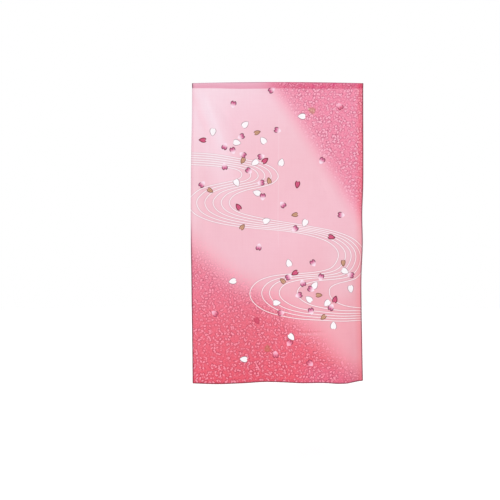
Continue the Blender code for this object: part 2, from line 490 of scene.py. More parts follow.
# %% Tell each face its petal
face_corners = cut[quads][..., :2]
face_middle = face_corners.mean(axis=1)
PETAL_LAYERS = ("petal", "petal_above")

for layer, name in enumerate(PETAL_LAYERS):
    mine = np.flatnonzero(petal_layer == layer)
    apart = np.linalg.norm(face_middle[:, None] - petal_place[mine][None], axis=-1)
    nearest = mine[apart.argmin(axis=1)]
    on_petal = apart.min(axis=1) < PETAL_REACH

    offset = face_corners - petal_place[nearest][:, None]
    cosine, sine = np.cos(petal_turn[nearest])[:, None], np.sin(petal_turn[nearest])[:, None]
    along = (cosine * offset[..., 0] + sine * offset[..., 1]) / petal_length[nearest][:, None] + 0.5
    beside = cosine * offset[..., 1] - sine * offset[..., 0]
    kind = np.where(on_petal, petal_kind[nearest], 0.0)[:, None] + 0 * along
    keep(name, np.stack([along, beside, kind], axis=-1), domain="CORNER")
    print(f"{name}: {len(mine)} petals on {on_petal.sum()} faces")

# %% [markdown]
# ## The print: a winding stream
#
# Six fine lines run side by side in long hairpin bends, the usual way to draw flowing water on Japanese
# cloth. They are one ribbon: two outer lines through a table of bends, and four more shared out between
# them. The lean column crowds those four towards the inner side of a bend, or towards the outer side where
# it is negative, and leaves one wide gap on the other side. Each face then needs the reverse of that
# drawing, from a place on the cloth to a place on the ribbon, and Newton's method finds it in a few steps
# from a nearby sample.

# %% The stream's bends
LINES = 6
BENDS = table(
    "Bend", "outer_across outer_down inner_across inner_down lean",
    (-500, 355, -500, 410, 0), (-455, 355, -455, 410, 0), (-400, 355, -405, 413, 0),
    (-295, 363, -320, 417, 0), (-185, 380, -240, 425, 0), (-85, 400, -195, 436, -0.2),
    (-20, 430, -176, 452, -0.35), (5, 470, -178, 470, -0.4), (-20, 502, -200, 485, -0.3),
    (-75, 520, -240, 496, 0), (-135, 532, -290, 508, 0), (-180, 546, -345, 522, 0),
    (-215, 565, -395, 545, 0), (-235, 597, -435, 592, 0), (-220, 627, -418, 645, 0),
    (-180, 650, -360, 680, 0), (-105, 670, -280, 703, 0), (-5, 690, -165, 720, 0), (90, 705, -50, 732, 0),
    (190, 722, 55, 743, -0.15), (290, 743, 155, 760, -0.3), (370, 775, 240, 788, -0.4),
    (418, 818, 290, 825, -0.5), (440, 868, 305, 862, -0.5), (436, 922, 290, 903, -0.3),
    (415, 960, 262, 928, 0), (390, 980, 210, 942, 0.3), (352, 990, 140, 950, 0.6),
    (315, 998, 55, 956, 0.9), (283, 1010, -30, 968, 1.2), (264, 1027, -98, 995, 1.5),
    (263, 1047, -133, 1042, 1.6), (267, 1067, -120, 1092, 1.5), (290, 1090, -65, 1137, 1.2),
    (325, 1107, 10, 1162, 0.8), (368, 1119, 100, 1177, 0.4), (420, 1127, 220, 1185, 0.1),
    (475, 1131, 345, 1189, 0), (540, 1134, 480, 1191, 0),
)
bend_columns = [[(i, bend[k]) for i, bend in enumerate(BENDS)] for k in range(5)]


def on_ribbon(t, line):
    """Where line 0 to 5, or a place between them, passes bend number t, on the flat cloth."""
    outer_x, outer_d, inner_x, inner_d, lean = (through(column, t) for column in bend_columns)
    share = line / (LINES - 1)
    wide_gap = np.clip(np.where(lean > 0, 1 - share, share), 0, 1)
    share = share + lean * share * (1 - share) * wide_gap
    return np.stack([outer_x + (inner_x - outer_x) * share, outer_d + (inner_d - outer_d) * share], axis=-1)


every_bend, every_line = np.arange(0, len(BENDS) - 1, 0.125), np.arange(-1, LINES + 0.1, 0.5)
sample_t, sample_line = (grid.ravel() for grid in np.meshgrid(every_bend, every_line))
samples = on_ribbon(sample_t, sample_line)
outer_line = on_ribbon(np.arange(0, len(BENDS) - 1, 0.1), 0)
print(f"the outer line runs {np.linalg.norm(np.diff(outer_line, axis=0), axis=-1).sum():.0f} mm")


# %% Tell each face its place on the stream
STREAM_REACH = 30.0   # faces further than this from every sample aren't by the stream
NO_LINE = -9.0        # the line number of a place that isn't on the stream
NUDGE = 0.01


def slopes(t, line):
    """How the place moves with t and with the line number."""
    return (
        (on_ribbon(t + NUDGE, line) - on_ribbon(t - NUDGE, line)) / (2 * NUDGE),
        (on_ribbon(t, line + NUDGE) - on_ribbon(t, line - NUDGE)) / (2 * NUDGE),
    )


def turned(a, b):
    """The area that two flat directions span, with its sign."""
    return a[..., 0] * b[..., 1] - a[..., 1] * b[..., 0]


tree = KDTree(len(samples))
for i, (x, d) in enumerate(samples):
    tree.insert((x, d, 0), i)
tree.balance()
found = [tree.find((x, d, 0)) for x, d in face_middle]
start = np.array([index for _, index, _ in found])
near = np.array([distance for *_, distance in found]) < STREAM_REACH

t = np.repeat(sample_t[start[near]][:, None], 4, axis=1)
line = np.repeat(sample_line[start[near]][:, None], 4, axis=1)
target = face_corners[near]
for _ in range(8):     # Newton's steps, kept short so that none leaps to another bend
    miss = target - on_ribbon(t, line)
    by_t, by_line = slopes(t, line)
    area = turned(by_t, by_line)
    area = np.where(np.abs(area) < 1e-3, 1e-3, area)
    t = np.clip(t + np.clip(turned(miss, by_line) / area, -0.5, 0.5), 0, len(BENDS) - 1)
    line = np.clip(line + np.clip(turned(by_t, miss) / area, -1, 1), -3, LINES + 2)

by_t, by_line = slopes(t, line)
line_gap = np.abs(turned(by_t, by_line)) / np.maximum(np.linalg.norm(by_t, axis=-1), 1e-6)
missed = np.linalg.norm(target - on_ribbon(t, line), axis=-1).max(axis=1) > 0.5   # millimetres
line[missed] = NO_LINE
stream = np.zeros((len(quads), 4, 3))
stream[..., 0] = NO_LINE
stream[near, :, 0] = line
stream[near, :, 1] = line_gap
keep("stream", stream, domain="CORNER")
print(f"{near.sum()} faces lie by the stream, {missed.sum()} of them too far off to matter")

# %% [markdown]
# ## Writing materials as sums
#
# A material is a net of nodes, and a long one is hard to read as separate nodes and links. Here a number
# that changes over the surface is wrapped, so that a + b or 1 - mask adds the Math node it needs. Any other
# node comes from one method, which takes its settings first and then its inputs. The same class writes the
# Geometry Nodes tree for the stitches.

# %% A small class for nodes
def sign(operation, reflected=False):
    """The method behind one of Python's signs. Reflected, it serves the value on the sign's right."""
    def method(self, other):
        return self.nodes.maths(operation, *((other, self) if reflected else (self, other)))
    return method


def set_stops(elements, stops):
    """Gives a ramp its stops, each a place from 0 to 1 and a colour."""
    while len(elements) < len(stops):
        elements.new(0.5)
    for element, (place, colour) in zip(elements, stops):
        element.position, element.color = place, colour


class Varying:
    """A number, colour or direction that changes over a surface: one socket, with Python's signs."""

    def __init__(self, nodes, socket):
        self.nodes, self.socket = nodes, socket

    def __abs__(self):
        return self.nodes.maths("ABSOLUTE", self)

    __add__, __radd__ = sign("ADD"), sign("ADD", reflected=True)
    __sub__, __rsub__ = sign("SUBTRACT"), sign("SUBTRACT", reflected=True)
    __mul__, __rmul__ = sign("MULTIPLY"), sign("MULTIPLY", reflected=True)
    __truediv__, __rtruediv__ = sign("DIVIDE"), sign("DIVIDE", reflected=True)
    __pow__ = sign("POWER")


class Nodes:
    """A node tree that is being written."""

    def __init__(self, tree):
        self.tree = tree

    def socket(self, sockets, name):
        by_identifier = {s.identifier: s for s in sockets}
        return by_identifier[name] if name in by_identifier else sockets[name]

    def node(self, kind, settings, inputs, *outputs):
        """Adds a node: its settings, then its inputs as values or links. Returns the outputs named."""
        made = self.tree.nodes.new(kind)
        for name, value in settings.items():
            if name == "stops":
                set_stops(made.color_ramp.elements, value)
            else:
                setattr(made, name, value)
        for name, value in inputs.items():
            place = self.socket(made.inputs, name)
            if isinstance(value, Varying):
                self.tree.links.new(value.socket, place)
            else:
                place.default_value = value
        found = [Varying(self, self.socket(made.outputs, name)) for name in outputs]
        return found[0] if len(found) == 1 else found

    def feed(self, value, node, name):
        """Links a varying value to an input of a node that is already in the tree."""
        self.tree.links.new(value.socket, node.inputs[name])

    def attribute(self, name, *parts):
        """The parts named, of X, Y and Z, of an attribute that the mesh carries."""
        kept = self.node("ShaderNodeAttribute", {"attribute_name": name}, {}, "Vector")
        return self.node("ShaderNodeSeparateXYZ", {}, {"Vector": kept}, *parts)

    def vector(self, x, y, z=0.0):
        return self.node("ShaderNodeCombineXYZ", {}, {"X": x, "Y": y, "Z": z}, "Vector")

    def maths(self, operation, *values):
        return self.node("ShaderNodeMath", {"operation": operation}, dict(enumerate(values)), "Value")

    def most(self, first, second):
        return self.maths("MAXIMUM", first, second)

    def least(self, first, second):
        return self.maths("MINIMUM", first, second)

    def smooth(self, value, low, high):
        """0 below low and 1 above high, with a soft step between. Given high first, it falls instead."""
        limits = {"Value": value, "From Min": low, "From Max": high}
        return self.node("ShaderNodeMapRange", {"interpolation_type": "SMOOTHSTEP"}, limits, "Result")

    def window(self, value, start, full, still_full, stop):
        """1 from full to still_full, and 0 before start and after stop, with soft steps between."""
        return self.smooth(value, start, full) * self.smooth(value, stop, still_full)

    def mix(self, factor, first, second, blend="MIX"):
        """Goes from the first colour to the second as the factor goes from 0 to 1."""
        inputs = {"Factor_Float": factor, "A_Color": first, "B_Color": second}
        settings = {"data_type": "RGBA", "blend_type": blend}
        return self.node("ShaderNodeMix", settings, inputs, "Result_Color")

    def tint(self, colour, factor, red, green, blue):
        """The colour multiplied by three shares, as strongly as the factor says."""
        return self.mix(factor, colour, (red, green, blue, 1), "MULTIPLY")

    def ramp(self, value, *stops):
        """A dye read from a list of (value in millimetres, red, green, blue)."""
        low, high = stops[0][0], stops[-1][0]
        stops = [((at - low) / (high - low), dye(*shade)) for at, *shade in stops]
        share = (value - low) / (high - low)
        return self.node("ShaderNodeValToRGB", {"stops": stops}, {"Fac": share}, "Color")

    def noise(self, where, scale, detail=2.0):
        """Soft random patches, between 0 and 1."""
        inputs = {"Vector": where, "Scale": scale, "Detail": detail, "Roughness": 0.55}
        return self.node("ShaderNodeTexNoise", {"noise_dimensions": "3D"}, inputs, "Fac")


# %% Materials and dyes
def new_material(name):
    """A material, its tree as one that can be written in, and its shader node."""
    material = bpy.data.materials.new(name)
    material.use_nodes = True
    return material, Nodes(material.node_tree), material.node_tree.nodes["Principled BSDF"]


def set_inputs(node, values):
    """Sets the inputs that are the same all over a surface."""
    for name, value in values.items():
        node.inputs[name].default_value = value


FRONT_LIGHT = 1.18    # how brightly the studio light below falls on the front, against plain white light


def dye(red, green, blue):
    """A colour as it should look, 0 to 255, turned into the dye that looks so in this studio's light."""
    shares = (red / 255, green / 255, blue / 255)
    linear = [c / 12.92 if c <= 0.04045 else ((c + 0.055) / 1.055) ** 2.4 for c in shares]
    return (*(c / FRONT_LIGHT for c in linear), 1.0)


print("to look 250, 219, 230 the cloth is dyed", [round(c, 2) for c in dye(250, 219, 230)])


# %% [markdown]
# ## The dyed ground
#
# The ground is brushed or sprayed on: a pale band runs down from the upper left, with a deeper magenta pink
# to its upper right and a coral rose to its lower left, rosier in the lower right corner. Both borders are
# soft, as sprayed dye is. Each is the distance from a slanting line, moved a little by slow steps and read
# through a soft step, and each region's colours come from a ramp down the cloth.
#
# The band itself isn't even. Near the upper left corner one slanting strip is a painted highlight where the
# folds there catch the light, and the narrow drag fold in it has a painted highlight on its ridge and painted
# shade in the hollow beside it. It is a little paler again along the left margin, and in one soft patch on
# the right.

# %% Ground colours
# A place on a slanting line, in millimetres, and the line's direction as shares across and down.
Slant = namedtuple("Slant", "across down run fall")
RIGHT_BORDER = Slant(-50, 18, 0.60, 0.80)
LEFT_BORDER = Slant(-424, 800, 0.78, 0.63)
HIGHLIGHT_STREAK = Slant(-335, 230, 0.27, 0.96)
DRAG_FOLD = Slant(-364, 85, 0.37, 0.93)


def along_slant(line, u, v):
    """How many millimetres along a slanting line a place lies."""
    return (u - line.across) * line.run + (v - line.down) * line.fall


def right_of_slant(line, u, v):
    """How many millimetres to the right of a slanting line a place lies."""
    return (u - line.across) * line.fall - (v - line.down) * line.run


def pale_band(n, u, v):
    """The colour of the pale band, with its painted highlight strip, the drag fold's painted highlight and
    shade, and its paler places.
    """
    band = n.ramp(
        v + u * 0.5,
        (-120, 251, 221, 232), (75, 249, 207, 220), (260, 247, 200, 212), (450, 246, 195, 207),
        (820, 246, 195, 208), (1000, 243, 188, 200), (1150, 242, 180, 192), (1350, 245, 174, 186),
        (1500, 245, 170, 183),
    )
    # Painted highlight: a slanting strip, paler where the folds near the upper left corner catch the light.
    streak_highlight = n.smooth(abs(right_of_slant(HIGHLIGHT_STREAK, u, v)), 130, 0) * n.window(v, 0, 140, 260, 760)
    band = n.mix(streak_highlight * 0.75, band, dye(251, 224, 235))
    # Painted highlight on the drag fold's ridge, and painted shade in the hollow beside it.
    from_fold, fold_length = right_of_slant(DRAG_FOLD, u, v), n.window(v, 20, 90, 240, 430)
    crest_highlight = n.smooth(abs(from_fold), 30, 0) * fold_length
    hollow = n.smooth(abs(from_fold + 47), 30, 0) * fold_length
    band = n.mix(crest_highlight * 0.6, band, dye(253, 229, 240))
    band = n.tint(band, hollow, 0.99, 0.92, 0.93)
    left_margin = n.smooth(u, -355, -405) * n.window(v, 200, 300, 640, 800)
    band = n.mix(left_margin * 0.25, band, dye(253, 232, 238))
    right_patch = n.window(u, 190, 300, 350, 400) * n.window(v, 720, 860, 1020, 1120)
    return n.mix(right_patch * 0.2, band, dye(246, 225, 234))


def ground(n, u, v):
    """The ground colour, then 0 to 1: how deeply dyed a place is, and how far flecks are strewn there."""
    magenta = n.ramp(v, (0, 249, 152, 179), (300, 248, 149, 176), (720, 247, 137, 166))
    coral = n.ramp(
        v, (760, 245, 141, 160), (1000, 243, 132, 156), (1200, 243, 116, 136), (1500, 240, 96, 116),
    )
    rosy_corner = n.smooth(v, 1370, 1460) * n.smooth(u, 60, 200)
    coral = n.mix(rosy_corner * 0.8, coral, dye(239, 116, 146))

    along_right = along_slant(RIGHT_BORDER, u, v)
    to_right = right_of_slant(RIGHT_BORDER, u, v) + n.smooth(along_right, 150, 850) * 33 + 1
    along_left = along_slant(LEFT_BORDER, u, v)
    to_left = 7 - right_of_slant(LEFT_BORDER, u, v)
    to_left = to_left + n.smooth(along_left, 200, 600) * 43 - n.smooth(along_left, 720, 1020) * 39
    to_left = to_left + n.smooth(v, 1340, 1440) * n.smooth(u, 150, 300) * 22

    right = n.smooth(to_right, -45, 60) * 0.75 + n.smooth(to_right, 0, 150) * 0.25
    left = n.smooth(to_left, -85, 125)
    colour = n.mix(left, n.mix(right, pale_band(n, u, v), magenta), coral)
    deep = n.most(n.smooth(to_right, -5, 80), n.smooth(to_left, -20, 90))
    strewn = n.most(n.smooth(to_right, -35, 45), n.smooth(to_left, -75, 35))
    return colour, deep, strewn


print("the pale band's borders pass", [border[:2] for border in (RIGHT_BORDER, LEFT_BORDER)])

# %% [markdown]
# ## Flecks, like scattered paper
#
# Both deep regions are strewn with short pale strokes, each with a thin darker line round it where the dye
# has drawn in, and the dye between them has taken a little unevenly. Scattered little meshes would stand
# proud of the cloth, so these are colour too. A Voronoi texture splits the cloth into cells with one point
# each. Around that point the stroke is drawn in the cell's own coordinates, and the cell's own random
# colour turns it, bends it and sets its size and strength, so no two are alike. Two such sets lie over each
# other, with cells of different size.

# %% Flecks
FLECK_SETS = ((17.0, 0.0), (23.0, 31.7))     # size of a cell, and a shift that makes the sets differ
FLECK_HALF_LENGTH = 7.4
FLECK_HALF_WIDTH = 4.6
FLECK_CURVE = 0.14    # how much the strokes differ in their curve


def flecks(n, u, v, cell, shift):
    """How strongly a stroke covers the place, and how strongly the line round it does, from 0 to 1."""
    where = n.vector(u / cell + shift, v / cell)
    random, middle = n.node(
        "ShaderNodeTexVoronoi", {"voronoi_dimensions": "2D", "feature": "F1"},
        {"Vector": where, "Scale": 1.0, "Randomness": 0.85}, "Color", "Position",
    )
    away = n.node("ShaderNodeVectorMath", {"operation": "SUBTRACT"}, {0: where, 1: middle}, "Vector")
    x, y = n.node("ShaderNodeSeparateXYZ", {}, {"Vector": away}, "X", "Y")
    turn, size, bend = n.node("ShaderNodeSeparateColor", {}, {"Color": random}, "Red", "Green", "Blue")
    angle = turn * (2 * math.pi)
    cosine, sine = n.maths("COSINE", angle), n.maths("SINE", angle)
    along = (x * cosine + y * sine) * cell
    beside = (y * cosine - x * sine) * cell + (bend - 0.5) * along * along * FLECK_CURVE
    length = FLECK_HALF_LENGTH * (0.5 + size * 0.5)
    width = FLECK_HALF_WIDTH * (0.6 + bend * 0.4)
    outwards = ((along / length) ** 2 + (beside / width) ** 2) ** 0.5     # 1 on the stroke's edge
    strength = 0.25 + 0.75 * n.smooth(bend + size, 0.5, 1.6)
    return n.smooth(outwards, 1.15, 0.75) * strength, n.smooth(abs(outwards - 1.45), 0.4, 0.0) * strength


def with_flecks(n, colour, u, v, deep, strewn):
    """The colour with both sets of flecks, as far as they are strewn, and unevenly dyed where it is deep."""
    (pale_a, line_a), (pale_b, line_b) = (flecks(n, u, v, *one_set) for one_set in FLECK_SETS)
    uneven = n.smooth(n.noise(n.vector(u, v), 0.11, 3.0), 0.42, 0.68)
    colour = n.tint(colour, uneven * deep, 0.86, 0.74, 0.79)
    colour = n.tint(colour, n.most(line_a, line_b) * deep, 0.56, 0.38, 0.48)
    paper = n.mix(n.smooth(v, 500, 1200), dye(255, 191, 212), dye(255, 160, 181))
    return n.mix(n.most(pale_a, pale_b) * strewn * 0.78, colour, paper)


print(f"{len(FLECK_SETS)} sets of flecks, up to {2 * FLECK_HALF_LENGTH} x {2 * FLECK_HALF_WIDTH} mm")

# %% [markdown]
# ## The stream's lines and the petals' shapes
#
# The stream attribute holds a line number from 0 to 5 and the gap from one line to the next, so the
# distance to the nearest line is the step to the nearest whole number times the gap. The lines are left
# white by a paste that keeps the dye off, and the dye gathers, a little greyer, in the gaps beside them.
#
# A petal's outline is a width that grows and shrinks along it. Powers of t and of 1 - t give it a long
# point where it sat on the flower and a blunt end, and a notch is cut from that end, as on a real cherry
# petal. All four kinds share the outline. They differ in width, in dye, and in how far the dark rim and
# vein reach in.
#
# A petal that lies in a deep region has taken up the dye round it. Mauve and crimson redden there, the
# outline of a white one darkens, and gold sinks until only a wide soft patch is left.

# %% Stream lines
STREAM_LINE = 3.2     # width of a line


def stream_lines(n):
    """1 on the six white lines, and 1 in the gaps close beside them."""
    line, gap = n.attribute("stream", "X", "Y")
    distance = abs(line - n.maths("ROUND", line)) * gap
    inside = n.maths("GREATER_THAN", line, -0.5) * n.maths("LESS_THAN", line, LINES - 0.5)
    edge = STREAM_LINE / 2
    on_line = n.smooth(distance, edge + 0.35, edge - 0.35)
    beside = n.window(distance, edge - 0.2, edge + 1.6, edge + 2.0, edge + 5.5)
    return on_line * inside, beside * inside


print(f"{LINES} lines, each {STREAM_LINE} mm wide")

# %% The outline of a petal
POINT_POWER = 0.76    # a long point where it sat on the flower
END_POWER = 0.42      # and a blunt end
PAST_AN_END = 38      # how many millimetres a whole t past either end counts for


def blade(n, t, side, width, notch):
    """How many millimetres inside a petal's outline a place lies. t is 0 at its point and 1 at its end."""
    both = POINT_POWER + END_POWER
    widest = (POINT_POWER / both) ** POINT_POWER * (END_POWER / both) ** END_POWER
    left = 1 - t - notch * n.smooth(abs(side), width * 0.22, 0.0)   # of the petal, before its end
    half = n.most(t, 0.0) ** POINT_POWER * n.most(left, 0.0) ** END_POWER * (width / 2 / widest)
    past = n.least(n.least(t, left), 0.0)     # negative past either end
    return half - abs(side) + past * PAST_AN_END


def rim(n, inside, t, side_width, end_width):
    """1 on a petal's outline, fading inwards over a width in millimetres at its sides and in t at its end."""
    at_sides = n.smooth(inside, side_width, side_width * 0.25)
    return n.most(at_sides, n.smooth(t, 1 - end_width, 0.96))


print(f"a petal is widest at {POINT_POWER / (POINT_POWER + END_POWER):.2f} of its length")


# %% The four kinds of petal
def white_paint(n, t, side, inside, deep):
    crease = n.smooth(abs(side), 1.5, 0.3) * n.smooth(t, 0.7, 0.3)
    paint = n.mix(crease * 0.25, dye(255, 250, 253), dye(238, 206, 220))
    outline = n.mix(deep, dye(172, 126, 140), dye(120, 70, 86))
    return n.mix(n.smooth(inside, 2.0, -0.4), paint, outline)


def mauve_paint(n, t, side, inside, deep):
    pale = n.mix(deep, dye(254, 228, 241), dye(255, 196, 218))
    middle = n.mix(deep, dye(223, 114, 158), dye(232, 112, 144))
    plum = n.mix(deep, dye(66, 0, 34), dye(124, 8, 46))
    paint = n.mix(n.smooth(t, 0.15, 0.75), pale, middle)
    paint = n.mix(n.smooth(t, 0.6, 0.95) * 0.3, paint, plum)
    vein = n.smooth(abs(side), 2.1, 0.7) * n.smooth(t, 0.5, 0.8) * 0.8
    dark = n.most(vein, rim(n, inside, t, 5.0, 0.23)) * n.smooth(t, 0.35, 0.6)
    return n.mix(dark, paint, plum)


def crimson_paint(n, t, side, inside, deep):
    vein = n.smooth(abs(side), 1.6, 0.5) * 0.5
    dark = n.most(vein, rim(n, inside, t, 7.0, 0.24))
    dark = n.most(dark, n.smooth(t, 0.26, 0.08)) * (1 - 0.75 * deep)
    paint = n.mix(deep, dye(222, 94, 133), dye(214, 75, 104))
    return n.mix(dark, paint, dye(104, 8, 44))


def gold_paint(n, t, side, inside, deep):
    vein = n.smooth(abs(side), 1.5, 0.4) * 0.65
    dark = n.most(vein, rim(n, inside, t, 5.5, 0.18))
    return n.mix(dark, dye(211, 163, 132), dye(114, 70, 50))


# Every paint takes the same inputs, so that one loop can lay them all on. Spread is how many millimetres it
# goes past the outline, and fade how much of the petal is lost where the ground is deep.
PetalKind = namedtuple("PetalKind", "paint width notch spread fade")
PETAL_KINDS = {
    WHITE: PetalKind(white_paint, 29, 0.08, 1.8, 0.0),
    MAUVE: PetalKind(mauve_paint, 29, 0.13, 0.0, 0.12),
    CRIMSON: PetalKind(crimson_paint, 26, 0.17, 0.0, 0.1),
    GOLD: PetalKind(gold_paint, 23, 0.14, 0.0, 0.85),
}


def with_petals(n, colour, deep, layer):
    """The colour with one layer's petals over it."""
    t, side, kind = n.attribute(layer, "X", "Y", "Z")
    for number, (paint, width, notch, spread, fade) in PETAL_KINDS.items():
        inside = blade(n, t, side, width, notch)
        is_kind = n.smooth(abs(kind - number), 0.5, 0.45)
        if number == GOLD:
            sunk = n.smooth(inside, -10, 1) * is_kind * deep
            colour = n.tint(colour, sunk, 0.82, 1.0, 0.66)
        shown = n.smooth(inside + spread, -0.6, 0.5) * is_kind * (1 - deep * fade)
        colour = n.mix(shown, colour, paint(n, t, side, inside, deep))
    return colour


print("widths in mm:", {kind.paint.__name__: kind.width for kind in PETAL_KINDS.values()})

# %% [markdown]
# ## Doubled cloth and creases, in painted shade and highlight
#
# The cloth is thin enough for the light behind it to brighten it. A hem or the pocket has more layers and
# lets less of that light through, so it gets painted shade, a deeper colour. The pocket's painted shade
# deepens towards its seam, and it has darker patches where the dye is deep. The right margin, which turns
# away from the viewer, gets warmer and deeper painted shade, and the rolled edges and the top fold get the
# darkest painted shade. The cut attribute says where all these places are.
#
# Packing leaves fold lines that don't hang out at once. The mesh doesn't have them, so their light is
# painted:
# a long painted highlight runs down the middle, and a short line of painted shade lies across, low on the
# right, with a paler painted highlight below it.

# %% Painted shade of hems, pocket and edges, and painted creases
def doubled(n, colour, u, v, deep):
    """The colour with painted shade where the cloth lies in several layers, on the right margin, along its
    rolled edges and on the top fold, and with dye patches in the pocket.
    """
    from_side = HALF - abs(u)
    in_side_hem = n.smooth(from_side, SIDE_HEM + 0.4, SIDE_HEM - 0.4)
    in_bottom_hem = n.smooth(v, LENGTH - BOTTOM_HEM - 0.4, LENGTH - BOTTOM_HEM + 0.4)
    # Painted shade: the hems' layers let less of the light from behind through.
    colour = n.tint(colour, n.most(in_side_hem, in_bottom_hem), 0.98, 0.93, 0.95)
    # Painted shade where the right margin turns away from the light, warmer and deeper.
    margin_shade = n.smooth(HALF - u, 44, 8) * (0.65 + 0.35 * deep)
    colour = n.tint(colour, margin_shade, 0.985, 0.70, 0.68)

    in_pocket = n.smooth(v, POCKET_DROP + 1.2, POCKET_DROP - 0.6)
    patches = n.smooth(n.noise(n.vector(u, v), 0.03), 0.52, 0.64)
    # Painted shade on the pocket's layers, deepening towards its seam; the patches tint after it is uneven
    # dye.
    colour = n.tint(colour, in_pocket, 0.91, 0.65, 0.73)
    colour = n.tint(colour, in_pocket * n.smooth(v, 6, 26), 0.97, 0.88, 0.91)
    colour = n.tint(colour, in_pocket * patches * deep, 0.97, 0.62, 0.84)

    # Painted shade along the rolled edges: the left edge is as dark as the right one beside the pocket and
    # low down, and paler between.
    edge = n.most(n.smooth(v, 650, 850), in_pocket) * 0.8 + 0.2
    edge = n.most(n.smooth(u, -10, 10), edge)
    side_edge_shade = n.window(from_side, -8, -3, 3.5, 7) * edge
    at_foot = n.window(v, LENGTH - 7, LENGTH - 3.5, LENGTH + 3, LENGTH + 8)
    colour = n.tint(colour, n.most(side_edge_shade, at_foot), 0.34, 0.26, 0.31)
    # Painted shade along the pocket's top fold.
    top = (u / HALF) ** 2 * TOP_BOW - 3
    return n.tint(colour, n.smooth(abs(v - top), 7.5, 3.5), 0.66, 0.60, 0.66)


def with_crease_shading(n, colour, u, v):
    """The colour with painted highlight and shade for the long crease down the middle and the short one
    across.
    """
    # Painted highlight along the long crease down the middle.
    middle_crease_highlight = n.smooth(abs(u - 7), 1.6, 0.5) * n.window(v, 130, 200, 780, 840)
    colour = n.mix(middle_crease_highlight * 0.30, colour, dye(255, 240, 244))
    # Painted shade in the short crease across, and a paler painted highlight just below it.
    short = n.window(u, 85, 130, 195, 250)
    colour = n.tint(colour, n.smooth(abs(v - 1241), 6, 1) * short, 0.95, 0.87, 0.87)
    return n.mix(n.smooth(abs(v - 1256), 11, 2) * short * 0.2, colour, dye(250, 190, 200))


print(f"doubled over {SIDE_HEM} mm at the sides, {BOTTOM_HEM} mm at the foot, {POCKET_DROP} mm at the top")

# %% [markdown]
# ## Weave, slubs and stitching grooves
#
# Close up, plain-woven cloth is a fine grid with a few thicker threads, called slubs, that run the whole
# way along or across. The grid is two crossed waves in a Bump node. The slubs are noise stretched along one
# direction. Stitching pulls a narrow groove along each seam. All of it reads the cut attribute, so it turns
# with the cloth at the hems.

# %% Surface of the cloth
THREAD_PITCH = 0.8
SIDE_STITCH = SIDE_HEM - 1.5      # in from the finished edge
FOOT_STITCH = BOTTOM_HEM - 2.0
STRETCH = 0.035                   # how much slower a slub changes along itself than across


def slubs(n, u, v, pitch):
    """Thicker threads along and across, about two pitches apart, as a value around 0.5."""
    along = n.noise(n.vector(u / pitch, v * STRETCH / pitch), 1.0)
    across = n.noise(n.vector(u * STRETCH / pitch + 40, v / pitch), 1.0)
    return (along + across) / 2


def relief(n, u, v, thick):
    """Height of the surface in millimetres: weave, slubs and the stitched grooves."""
    turn = math.pi / THREAD_PITCH
    weave = n.maths("SINE", u * turn) * n.maths("SINE", v * turn)
    side_groove = n.smooth(abs(HALF - SIDE_STITCH - abs(u)), 1.3, 0.2)
    foot_groove = n.smooth(abs(v - (LENGTH - FOOT_STITCH)), 1.3, 0.2)
    pocket_groove = n.smooth(abs(v - POCKET_DROP), 1.6, 0.3)
    groove = n.most(n.most(side_groove, foot_groove), pocket_groove)
    return weave * 0.02 + (thick - 0.5) * 0.12 - groove * 0.12


print(f"a thread every {THREAD_PITCH} mm, and stitches {SIDE_STITCH} mm in from the sides")

# %% [markdown]
# ## Two faces of one cloth
#
# The printed side takes the whole print, laid on in the dyer's order: the ground, the flecks, the stream
# and the petals. On the wrong side the dye has only partly come through: the same colours lie under a veil
# of undyed thread, and the white parts show more than the dark ones. Both faces come from one function, so
# they can't drift apart.

# %% Cloth materials
def cloth_finish(name, veil):
    """A material for one face of the cloth. veil is how much undyed thread covers the print."""
    material, n, shader = new_material(name)
    u, v = n.attribute("cut", "X", "Y")
    colour, deep, strewn = ground(n, u, v)

    thick, bars = slubs(n, u, v, 1.1), slubs(n, u, v, 5.0)
    mottle = n.noise(n.vector(u, v), 0.011, 4.0)
    colour = n.tint(colour, n.smooth(mottle, 0.35, 0.8) * 0.5, 0.985, 0.94, 0.955)
    colour = n.tint(colour, n.smooth(thick, 0.5, 0.72) * 0.5, 0.97, 0.90, 0.925)
    colour = n.tint(colour, n.smooth(bars, 0.42, 0.68) * 0.6, 0.98, 0.93, 0.95)

    colour = with_flecks(n, colour, u, v, deep, strewn)
    white_lines, beside_them = stream_lines(n)
    colour = n.tint(colour, beside_them, 0.88, 0.87, 0.88)
    colour = n.mix(white_lines * 0.95, colour, dye(255, 248, 251))
    for layer in PETAL_LAYERS:
        colour = with_petals(n, colour, deep, layer)
    # Painted crease light, then painted shade of layers, margin and edges, and the pocket's dye patches.
    colour = doubled(n, with_crease_shading(n, colour, u, v), u, v, deep)
    if veil:
        colour = n.mix(veil, colour, dye(250, 228, 234))
    n.feed(colour, shader, "Base Color")

    height = {"Height": relief(n, u, v, thick), "Strength": 0.35, "Distance": MM}
    n.feed(n.node("ShaderNodeBump", {}, height, "Normal"), shader, "Normal")
    n.feed(0.84 + (thick - 0.5) * 0.25, shader, "Roughness")
    set_inputs(shader, {"Sheen Weight": 0.12, "Sheen Roughness": 0.45, "Specular IOR Level": 0.25})
    print(f"{name}: {len(n.tree.nodes)} nodes")
    return material


mesh.materials.append(cloth_finish("printed_side", 0.0))
mesh.materials.append(cloth_finish("wrong_side", 0.42))

# %% [markdown]
# ## Stitches
#
# Polyester thread shows as short dashes along the pocket's seam and inside every hem, on both sides of the
# cloth. There are thousands of them, so Geometry Nodes sets them out: it takes plain lines laid on the
# cloth, walks along each at the stitch length and leaves one small spindle at every step.

# %% Lines that the stitches follow
PROUD = THICKNESS / 2 + 0.04


